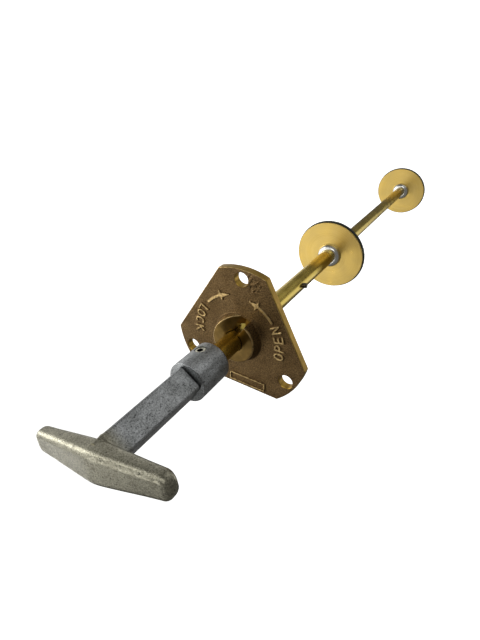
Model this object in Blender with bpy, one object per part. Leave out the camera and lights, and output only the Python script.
"""Push-pull valve spindle: T-handle, rod, cover with locking cam, and two sealing discs.

Frame: the rod's axis is Z. The origin is on that axis at the cover's back face, which beds
on the valve body. +Z points at the handle, -Z into the valve. One bolt hole lies on +Y.
"""
import math

import bmesh
import bpy
from mathutils import Matrix, Vector

MM = 0.001
GAP = 0.3 * MM                      # clearance kept between neighbouring solids

# --- driving dimensions -------------------------------------------------------------
ROD_RADIUS = 6.35 * MM              # 1/2 in brass bar
TAIL_RADIUS = 5.6 * MM              # reduced end of the rod, behind the front disc

COVER_THICKNESS = 5.5 * MM
COVER_ARC_RADIUS = 47.1 * MM        # the three rounded corners
COVER_FLAT_DISTANCE = 36.2 * MM     # from the axis to each of the three straight sides
COVER_EDGE_CHAMFER = 0.4 * MM
BOLT_CIRCLE_RADIUS = 40.3 * MM
BOLT_HOLE_RADIUS = 4.6 * MM
BOLT_ANGLES = (90.0, 210.0, 330.0)

CAM_HEIGHT = 6.9 * MM               # top of the cam above the cover's front face
CAM_BASE_RADIUS = 16.3 * MM
CAM_TOP_RADIUS = 14.5 * MM
CAM_STEP_ANGLE = 60.0               # the steep end of the ramp, degrees about +Z
CAM_RAMP_START = 72.0               # where the ramp leaves the pocket
CAM_RAMP_END = 162.0                # where it reaches full height
POCKET_DEPTH = 1.6 * MM             # the pocket's floor below the cover's front face
POCKET_RADIUS = 14.9 * MM
PIN_SLOT_ANGLE = 81.0
PIN_SLOT_REACH = 10.4 * MM

HANDLE_ANGLE = 14.4                 # the grip bar's direction at rest, degrees about +Z
SOCKET_RADIUS = 11.8 * MM
SOCKET_MOUTH_Z = 35.1 * MM
SOCKET_BACK_Z = 60.4 * MM
SOCKET_BORE_DEPTH = 22.0 * MM
SHANK_HALF_WIDTH = 9.6 * MM         # along the grip bar
SHANK_HALF_DEPTH = 10.4 * MM        # across the grip bar
SHANK_CORNER_RADIUS = 1.6 * MM
GRIP_HALF_LENGTH = 43.0 * MM
GRIP_SHOULDER = 37.5 * MM           # where the round ends start
GRIP_FRONT_Z = 127.9 * MM
GRIP_BACK_Z = 117.2 * MM
GRIP_OFFSET = -0.7 * MM            # the casting's grip sits this far off the rod's axis
GRIP_FRONT_FALL = 3.3 * MM          # how far the palm face falls back towards the ends
GRIP_MIDDLE_HALF_HEIGHT = 9.4 * MM
GRIP_END_HALF_HEIGHT = 6.2 * MM
GRIP_EDGE_RADIUS = 2.2 * MM

SET_SCREW_Z = 43.1 * MM
SET_SCREW_RADIUS = 3.2 * MM
SET_SCREW_HEX = 3.4 * MM            # across the flats
SET_SCREW_HEX_DEPTH = 2.6 * MM

PIN_Z = -82.0 * MM
PIN_RADIUS = 2.0 * MM
PIN_REACH = 9.6 * MM                # how far the pin's end stands from the axis

DISC_RADIUS = 30.2 * MM
DISC_THICKNESS = 1.6 * MM
SEAL_RADIUS = 31.0 * MM
SEAL_THICKNESS = 3.0 * MM
BACKING_RADIUS = 22.0 * MM
BACKING_THICKNESS = 2.0 * MM
LOCK_WASHER_THICKNESS = 2.0 * MM
COLLAR_RADIUS = 10.6 * MM
COLLAR_HEIGHT = 4.6 * MM
FRONT_DISC_Z = -155.5 * MM          # front face of the front disc
REAR_DISC_Z = -432.0 * MM           # front face of the rear disc
TAIL_STEP_Z = -178.0 * MM
ROD_TOP_Z = SOCKET_MOUTH_Z + SOCKET_BORE_DEPTH - GAP
ROD_END_Z = -452.0 * MM

LARGE_SEGMENTS = 56
SMALL_SEGMENTS = 32


# --- general helpers ----------------------------------------------------------------
def clear_scene():
    """Remove every object that the file starts with."""
    for obj in list(bpy.data.objects):
        bpy.data.objects.remove(obj, do_unlink=True)


def material(name, colour, roughness, metallic):
    """A Principled material with one colour."""
    mat = bpy.data.materials.new(name)
    mat.use_nodes = True
    shader = mat.node_tree.nodes["Principled BSDF"]
    shader.inputs["Base Color"].default_value = (*colour, 1.0)
    shader.inputs["Roughness"].default_value = roughness
    shader.inputs["Metallic"].default_value = metallic
    return mat


def empty(name, parent=None):
    """An empty on the rod's axis that carries the pieces of one joint."""
    obj = bpy.data.objects.new(name, None)
    bpy.context.scene.collection.objects.link(obj)
    obj.parent = parent
    return obj


def finish(name, mesh_data, mat, parent=None, z=0.0, turn=0.0):
    """Close a bmesh into a named object at height z on the axis, turned about it."""
    bmesh.ops.recalc_face_normals(mesh_data, faces=mesh_data.faces)
    mesh = bpy.data.meshes.new(name)
    mesh_data.to_mesh(mesh)
    mesh_data.free()
    mesh.shade_smooth()
    mesh.set_sharp_from_angle(angle=math.radians(35.0))
    obj = bpy.data.objects.new(name, mesh)
    bpy.context.scene.collection.objects.link(obj)
    if mat is not None:
        mesh.materials.append(mat)
    obj.parent = parent
    obj.location = (0.0, 0.0, z)
    obj.rotation_euler = (0.0, 0.0, math.radians(turn))
    return obj


def cut(target, cutter, operation="DIFFERENCE"):
    """Cut or join target with a hidden guide solid."""
    cutter.hide_render = True
    cutter.display_type = "WIRE"
    boolean = target.modifiers.new(cutter.name, "BOOLEAN")
    boolean.operation = operation
    boolean.object = cutter


def polar(radius, degrees, z=0.0):
    """A point at a radius and an angle about Z."""
    angle = math.radians(degrees)
    return Vector((radius * math.cos(angle), radius * math.sin(angle), z))


def skin(loops, closed):
    """Join equal loops of points into one closed solid.

    When closed, the last loop joins the first, as in a ring; otherwise both ends are capped.
    """
    mesh = bmesh.new()
    rows = [[mesh.verts.new(point) for point in loop] for loop in loops]
    count = len(rows[0])
    pairs = list(zip(rows, rows[1:]))
    if closed:
        pairs.append((rows[-1], rows[0]))
    for near, far in pairs:
        for i in range(count):
            j = (i + 1) % count
            mesh.faces.new((near[i], near[j], far[j], far[i]))
    if not closed:
        mesh.faces.new(rows[0])
        mesh.faces.new(rows[-1])
    return mesh


def turned_ring(profile, segments):
    """Turn a closed (radius, z) outline that stays clear of the axis about Z."""
    loops = []
    for step in range(segments):
        angle = 360.0 * step / segments
        loops.append([polar(radius, angle, z) for radius, z in profile])
    return skin(loops, closed=True)


def turned_bar(profile, segments):
    """Turn an open (radius, z) outline, first point to last, into a solid bar with flat ends."""
    loops = []
    for radius, z in profile:
        loops.append([polar(radius, 360.0 * step / segments, z) for step in range(segments)])
    return skin(loops, closed=False)


def ring_outline(inner, outer, low, high, chamfer):
    """A washer's cross-section with chamfered outer edges."""
    return [
        (inner, low),
        (outer - chamfer, low),
        (outer, low + chamfer),
        (outer, high - chamfer),
        (outer - chamfer, high),
        (inner, high),
    ]


def hexagon(across_flats, z):
    """The six corners of a hexagon."""
    radius = across_flats / math.sqrt(3.0)
    return [polar(radius, 60.0 * i + 30.0, z) for i in range(6)]


# --- cover --------------------------------------------------------------------------
def cover_outline():
    """Three arcs about the bolt holes' directions, joined by three straight sides."""
    half = 60.0 - math.degrees(math.acos(COVER_FLAT_DISTANCE / COVER_ARC_RADIUS))
    steps = 10
    points = []
    for middle in BOLT_ANGLES:
        for i in range(steps + 1):
            points.append((COVER_ARC_RADIUS, middle - half + 2.0 * half * i / steps))
    return points


def cam_height(angle):
    """Height of the ramp at an angle: a quarter sine wave from the pocket up to full height."""
    share = (angle - CAM_RAMP_START) / (CAM_RAMP_END - CAM_RAMP_START)
    share = min(max(share, 0.0), 1.0)
    floor = COVER_THICKNESS - POCKET_DEPTH
    rise = CAM_HEIGHT + POCKET_DEPTH
    return floor + rise * math.sin(share * math.pi / 2.0)


def cam_radius(z):
    """Outer radius of the cam at a height, with the casting's draft."""
    share = (z - COVER_THICKNESS) / CAM_HEIGHT
    return CAM_BASE_RADIUS + (CAM_TOP_RADIUS - CAM_BASE_RADIUS) * share


def cam_angles():
    """Angles of the cam's sections, close together on the ramp, from its foot round to the step."""
    ramp = [CAM_RAMP_START + 4.0 + 6.0 * i for i in range(15)]
    crown = [CAM_RAMP_END + 11.0 * i for i in range(24)]
    return [angle for angle in ramp if angle < CAM_RAMP_END] + crown + [360.0 + CAM_STEP_ANGLE]


def cam_solid():
    """The raised ring with its ramp, rooted inside the cover plate."""
    root = COVER_THICKNESS / 2.0
    inner = ROD_RADIUS / 2.0
    loops = []
    for angle in cam_angles():
        top = cam_height(angle)
        loops.append([
            polar(inner, angle, root),
            polar(cam_radius(COVER_THICKNESS), angle, root),
            polar(cam_radius(COVER_THICKNESS), angle, min(COVER_THICKNESS - GAP / 3.0, top - GAP)),
            polar(cam_radius(max(top, COVER_THICKNESS)), angle, top),
            polar(inner, angle, top),
        ])
    return skin(loops, closed=False)


def pocket_solid():
    """What is cut from the cover's face where the ramp runs below it, next to the step."""
    roof = COVER_THICKNESS + CAM_HEIGHT
    inner = ROD_RADIUS / 2.0
    loops = []
    for i in range(9):
        angle = CAM_STEP_ANGLE + 3.5 * i
        floor = cam_height(angle)
        loops.append([
            polar(inner, angle, floor),
            polar(POCKET_RADIUS, angle, floor),
            polar(POCKET_RADIUS, angle, roof),
            polar(inner, angle, roof),
        ])
    return skin(loops, closed=False)


def bar_between(start, end, half_width, low, high):
    """A square-ended block along a radius, from start to end, for a slot."""
    loops = []
    for x in (start, end):
        loops.append([
            Vector((x, -half_width, low)),
            Vector((x, half_width, low)),
            Vector((x, half_width, high)),
            Vector((x, -half_width, high)),
        ])
    return skin(loops, closed=False)


def make_cover(mat):
    """Cast bronze cover: plate, locking cam, rod bore, pin slot and three bolt holes."""
    loops = []
    levels = (
        (0.0, COVER_EDGE_CHAMFER),
        (COVER_EDGE_CHAMFER, 0.0),
        (COVER_THICKNESS - COVER_EDGE_CHAMFER, 0.0),
        (COVER_THICKNESS, COVER_EDGE_CHAMFER),
    )
    for z, inset in levels:
        loops.append([polar(radius - inset, angle, z) for radius, angle in cover_outline()])
    cover = finish("cover_flange", skin(loops, closed=False), mat)

    cut(cover, finish("cam_guide", cam_solid(), None), "UNION")
    cut(cover, finish("pocket_guide", pocket_solid(), None))

    low = -COVER_THICKNESS
    high = COVER_THICKNESS + 2.0 * CAM_HEIGHT
    bore_radius = ROD_RADIUS + GAP
    bore = turned_bar([(bore_radius, low), (bore_radius, high)], SMALL_SEGMENTS)
    cut(cover, finish("bore_guide", bore, None))

    slot = bar_between(0.0, PIN_SLOT_REACH, PIN_RADIUS + GAP, low, high)
    cut(cover, finish("slot_guide", slot, None, turn=PIN_SLOT_ANGLE))

    for number, angle in enumerate(BOLT_ANGLES, start=1):
        profile = [(BOLT_HOLE_RADIUS, low), (BOLT_HOLE_RADIUS, high)]
        hole = finish("bolt_guide_%d" % number, turned_bar(profile, 24), None)
        hole.location = polar(BOLT_CIRCLE_RADIUS, angle)
        cut(cover, hole)
    return cover


# --- handle -------------------------------------------------------------------------
def rounded_polygon(corners, radius, steps):
    """Corners of a convex outline in the XY plane, each swept by an arc of the given radius.

    The result is the outline grown by that radius.
    """
    points = []
    count = len(corners)
    for i, corner in enumerate(corners):
        before = corners[i - 1]
        after = corners[(i + 1) % count]
        first = math.atan2(corner[1] - before[1], corner[0] - before[0]) - math.pi / 2.0
        last = math.atan2(after[1] - corner[1], after[0] - corner[0]) - math.pi / 2.0
        sweep = (last - first) % (2.0 * math.pi)
        for step in range(steps + 1):
            angle = first + sweep * step / steps
            points.append((corner[0] + radius * math.cos(angle), corner[1] + radius * math.sin(angle)))
    return points


def shank_loop(z, scale):
    """The shank's rounded diamond section at a height."""
    a = SHANK_HALF_WIDTH * scale - SHANK_CORNER_RADIUS
    b = SHANK_HALF_DEPTH * scale - SHANK_CORNER_RADIUS
    outline = rounded_polygon([(a, 0.0), (0.0, b), (-a, 0.0), (0.0, -b)], SHANK_CORNER_RADIUS, 3)
    return [Vector((x, y, z)) for x, y in outline]


def grip_section(x):
    """The grip bar's rounded rectangle, across the bar, at a place x along it."""
    reach = min(abs(x) / GRIP_SHOULDER, 1.0)
    along = math.sqrt(reach * reach + 0.01) - 0.1
    half_height = GRIP_MIDDLE_HALF_HEIGHT + (GRIP_END_HALF_HEIGHT - GRIP_MIDDLE_HALF_HEIGHT) * along
    front = GRIP_FRONT_Z - GRIP_FRONT_FALL * along
    back = GRIP_BACK_Z
    past = max(abs(x) - GRIP_SHOULDER, 0.0) / (GRIP_HALF_LENGTH - GRIP_SHOULDER)
    round_off = math.sqrt(max(1.0 - past * past, 0.0))
    half_height *= round_off
    middle = (front + back) / 2.0
    half_depth = (front - back) / 2.0 * (0.35 + 0.65 * round_off)
    radius = min(GRIP_EDGE_RADIUS, 0.8 * half_height, 0.8 * half_depth)
    a = half_height - radius
    b = half_depth - radius
    outline = rounded_polygon([(a, -b), (a, b), (-a, b), (-a, -b)], radius, 3)
    return [Vector((x + GRIP_OFFSET, y, middle + z)) for y, z in outline]


def grip_stations():
    """Places along the grip bar: even steps between the shoulders and closer on the ends."""
    span = GRIP_HALF_LENGTH - GRIP_SHOULDER
    ends = [GRIP_SHOULDER + span * math.sin(math.radians(angle)) for angle in (25.0, 50.0, 70.0, 82.0)]
    middle = [GRIP_SHOULDER * i / 6.0 for i in range(-6, 7)]
    return [-x for x in reversed(ends)] + middle + ends


def make_handle(mat, parent):
    """One casting: grip bar, diamond shank and round socket for the rod."""
    profile = [
        (SOCKET_RADIUS - 0.6 * MM, SOCKET_MOUTH_Z),
        (SOCKET_RADIUS, SOCKET_MOUTH_Z + 0.6 * MM),
        (SOCKET_RADIUS, SOCKET_BACK_Z - 0.6 * MM),
        (SOCKET_RADIUS - 0.6 * MM, SOCKET_BACK_Z),
    ]
    handle = finish("t_handle", turned_bar(profile, 40), mat, parent, turn=HANDLE_ANGLE)

    inside_socket = SOCKET_BACK_Z - 2.0 * MM
    inside_grip = (GRIP_FRONT_Z + GRIP_BACK_Z) / 2.0
    shank = skin([shank_loop(inside_socket, 1.0), shank_loop(inside_grip, 0.95)], closed=False)
    cut(handle, finish("shank_guide", shank, None, parent, turn=HANDLE_ANGLE), "UNION")

    grip = skin([grip_section(x) for x in grip_stations()], closed=False)
    cut(handle, finish("grip_guide", grip, None, parent, turn=HANDLE_ANGLE), "UNION")

    floor = SOCKET_MOUTH_Z + SOCKET_BORE_DEPTH
    bore_radius = ROD_RADIUS + GAP
    bore = turned_bar([(bore_radius, SOCKET_MOUTH_Z - 5.0 * MM), (bore_radius, floor)], SMALL_SEGMENTS)
    cut(handle, finish("socket_bore_guide", bore, None, parent, turn=HANDLE_ANGLE))

    hole_radius = SET_SCREW_RADIUS + GAP
    hole = turned_bar([(hole_radius, 0.0), (hole_radius, 2.0 * SOCKET_RADIUS)], 24)
    hole = finish("screw_hole_guide", hole, None, parent)
    lay_across(hole, SET_SCREW_Z, 90.0)
    cut(handle, hole)
    return handle


def lay_across(obj, z, from_grip):
    """Turn a piece made along Z so that it lies across the rod, at an angle from the grip bar."""
    direction = Matrix.Rotation(math.radians(HANDLE_ANGLE + from_grip), 4, "Z")
    tip = Matrix.Rotation(math.radians(90.0), 4, "Y")
    turn = (direction @ tip).to_euler()
    obj.location = (0.0, 0.0, z)
    obj.rotation_euler = turn


def make_set_screw(mat, parent):
    """Socket set screw that clamps the handle on the rod; it lies across the grip bar."""
    start = ROD_RADIUS + GAP
    end = SOCKET_RADIUS - 0.5 * MM
    chamfer = 0.5 * MM
    profile = [
        (SET_SCREW_RADIUS - 1.2 * MM, start),
        (SET_SCREW_RADIUS, start + 1.2 * MM),
        (SET_SCREW_RADIUS, end - chamfer),
        (SET_SCREW_RADIUS - chamfer, end),
    ]
    screw = finish("handle_set_screw", turned_bar(profile, 24), mat, parent)
    lay_across(screw, SET_SCREW_Z, 90.0)

    depth = end - SET_SCREW_HEX_DEPTH
    recess = skin([hexagon(SET_SCREW_HEX, depth), hexagon(SET_SCREW_HEX, end + chamfer)], closed=False)
    recess = finish("screw_recess_guide", recess, None, parent)
    lay_across(recess, SET_SCREW_Z, 90.0)
    cut(screw, recess)
    return screw


# --- rod and pin --------------------------------------------------------------------
def groove(z, radius, depth, width):
    """Profile points of a square groove, listed downwards from height z."""
    return [(radius, z), (radius - depth, z), (radius - depth, z - width), (radius, z - width)]


def collar_groove_z(disc_z):
    """Upper edge of the rod's groove under a retaining collar."""
    return disc_z + GAP + 2.4 * MM


def make_rod(mat, parent):
    """Brass rod: full size down to the front nut, then the reduced tail."""
    chamfer = 0.8 * MM
    step = ROD_RADIUS - TAIL_RADIUS
    profile = [(ROD_RADIUS - chamfer, ROD_TOP_Z), (ROD_RADIUS, ROD_TOP_Z - chamfer)]
    profile += groove(collar_groove_z(FRONT_DISC_Z), ROD_RADIUS, 0.8 * MM, 1.6 * MM)
    profile += [(ROD_RADIUS, TAIL_STEP_Z + step), (TAIL_RADIUS, TAIL_STEP_Z)]
    profile += groove(collar_groove_z(REAR_DISC_Z), TAIL_RADIUS, 0.8 * MM, 1.6 * MM)
    profile += [(TAIL_RADIUS, ROD_END_Z + chamfer), (TAIL_RADIUS - chamfer, ROD_END_Z)]
    rod = finish("spindle_rod", turned_bar(profile, SMALL_SEGMENTS), mat, parent)

    hole_radius = PIN_RADIUS + GAP
    hole = turned_bar([(hole_radius, -2.0 * ROD_RADIUS), (hole_radius, 2.0 * ROD_RADIUS)], 20)
    hole = finish("pin_hole_guide", hole, None, parent)
    lay_across(hole, PIN_Z, 0.0)
    cut(rod, hole)
    return rod


def make_pin(mat, parent):
    """Steel locking pin: flush on one side, standing out on the other, towards the grip's end."""
    chamfer = 0.5 * MM
    start = -(ROD_RADIUS - 0.4 * MM)
    profile = [
        (PIN_RADIUS - chamfer, start),
        (PIN_RADIUS, start + chamfer),
        (PIN_RADIUS, PIN_REACH - chamfer),
        (PIN_RADIUS - chamfer, PIN_REACH),
    ]
    pin = finish("cross_pin", turned_bar(profile, 16), mat, parent)
    lay_across(pin, PIN_Z, 0.0)
    return pin


# --- discs --------------------------------------------------------------------------
def collar_outline(rod_radius):
    """Domed collar's section: a quarter ellipse outside, a rib inside that fills the groove."""
    bore = rod_radius + GAP
    rib = rod_radius - 0.8 * MM + GAP
    rib_high = 2.4 * MM - GAP
    rib_low = 0.8 * MM + GAP
    points = [(bore, 0.0)]
    steps = 6
    for i in range(steps + 1):
        angle = math.radians(90.0 * i / steps)
        radius = bore + 0.3 * MM + (COLLAR_RADIUS - bore - 0.3 * MM) * math.cos(angle)
        points.append((radius, COLLAR_HEIGHT * math.sin(angle)))
    points += [(bore, COLLAR_HEIGHT), (bore, rib_high), (rib, rib_high), (rib, rib_low), (bore, rib_low)]
    return points


def make_disc_group(side, disc_z, rod_radius, nut_size, mats, swivel, spindle):
    """One sealing disc and what holds it, from the collar in front to the nut behind."""
    bore = rod_radius + GAP
    collar = turned_ring(collar_outline(rod_radius), SMALL_SEGMENTS)
    finish(side + "_retaining_collar", collar, mats["steel"], spindle, disc_z + GAP)

    outline = ring_outline(bore, DISC_RADIUS, -DISC_THICKNESS, 0.0, 0.3 * MM)
    finish(side + "_disc", turned_ring(outline, LARGE_SEGMENTS), mats["brass"], swivel, disc_z)

    seal_z = disc_z - DISC_THICKNESS - GAP
    outline = ring_outline(bore, SEAL_RADIUS, -SEAL_THICKNESS, 0.0, 0.4 * MM)
    finish(side + "_seal", turned_ring(outline, LARGE_SEGMENTS), mats["rubber"], swivel, seal_z)

    backing_z = seal_z - SEAL_THICKNESS - GAP
    outline = ring_outline(bore, BACKING_RADIUS, -BACKING_THICKNESS, 0.0, 0.4 * MM)
    backing = turned_ring(outline, LARGE_SEGMENTS)
    finish(side + "_backing_washer", backing, mats["brass"], swivel, backing_z)

    washer_z = backing_z - BACKING_THICKNESS - GAP
    washer = lock_washer(bore, nut_size / 2.0 - 0.4 * MM)
    finish(side + "_lock_washer", washer, mats["steel"], spindle, washer_z)

    nut_z = washer_z - LOCK_WASHER_THICKNESS - GAP
    make_nut(side + "_nut", nut_size, bore, nut_z, mats["nut"], spindle)


def lock_washer(inner, outer):
    """Split spring washer, hanging down from z = 0."""
    slit = 5.0
    steps = 30
    loops = []
    for i in range(steps + 1):
        angle = slit + (360.0 - 2.0 * slit) * i / steps
        loops.append([
            polar(inner, angle, 0.0),
            polar(outer, angle, 0.0),
            polar(outer, angle, -LOCK_WASHER_THICKNESS),
            polar(inner, angle, -LOCK_WASHER_THICKNESS),
        ])
    return skin(loops, closed=False)


def make_nut(name, across_flats, bore, z, mat, parent):
    """Hexagon nut with chamfered corners."""
    height = 0.45 * across_flats
    chamfer = 0.8 * MM
    corner = across_flats / math.sqrt(3.0)
    small = corner - 1.4 * MM
    blank = turned_bar(
        [(small, -height), (corner, -height + chamfer), (corner, -chamfer), (small, 0.0)],
        36,
    )
    nut = finish(name, blank, mat, parent, z)
    outer = 2.0 * corner
    loops = []
    for level in (-height - chamfer, chamfer):
        loops.append(hexagon(across_flats, level))
    prism = finish(name + "_prism_guide", skin(loops, closed=False), None, parent, z)
    cut(nut, prism, "INTERSECT")
    hole = turned_bar([(bore, -outer), (bore, outer)], SMALL_SEGMENTS)
    cut(nut, finish(name + "_hole_guide", hole, None, parent, z))
    return nut


# --- assembly -----------------------------------------------------------------------
def main():
    """Build every piece on its joint's empty."""
    clear_scene()
    mats = {
        "bronze": material("cast_bronze", (0.20, 0.13, 0.055), 0.50, 0.9),
        "cast": material("cast_grey_metal", (0.20, 0.20, 0.19), 0.50, 0.8),
        "rod": material("drawn_brass", (0.42, 0.28, 0.06), 0.22, 1.0),
        "brass": material("turned_brass", (0.62, 0.42, 0.12), 0.32, 1.0),
        "nut": material("brass_nut", (0.50, 0.34, 0.10), 0.35, 1.0),
        "steel": material("bright_steel", (0.70, 0.70, 0.68), 0.18, 1.0),
        "screw": material("plated_screw_steel", (0.45, 0.44, 0.40), 0.25, 1.0),
        "pin": material("dark_pin_steel", (0.12, 0.11, 0.10), 0.40, 1.0),
        "rubber": material("black_nitrile_rubber", (0.02, 0.025, 0.02), 0.65, 0.0),
    }
    swivel = empty("plunger_slide_axis")
    spindle = empty("handle_twist_axis", swivel)

    make_cover(mats["bronze"])
    make_rod(mats["rod"], spindle)
    make_handle(mats["cast"], spindle)
    make_set_screw(mats["screw"], spindle)
    make_pin(mats["pin"], spindle)
    make_disc_group("front", FRONT_DISC_Z, ROD_RADIUS, 19.0 * MM, mats, swivel, spindle)
    make_disc_group("rear", REAR_DISC_Z, TAIL_RADIUS, 17.0 * MM, mats, swivel, spindle)


main()
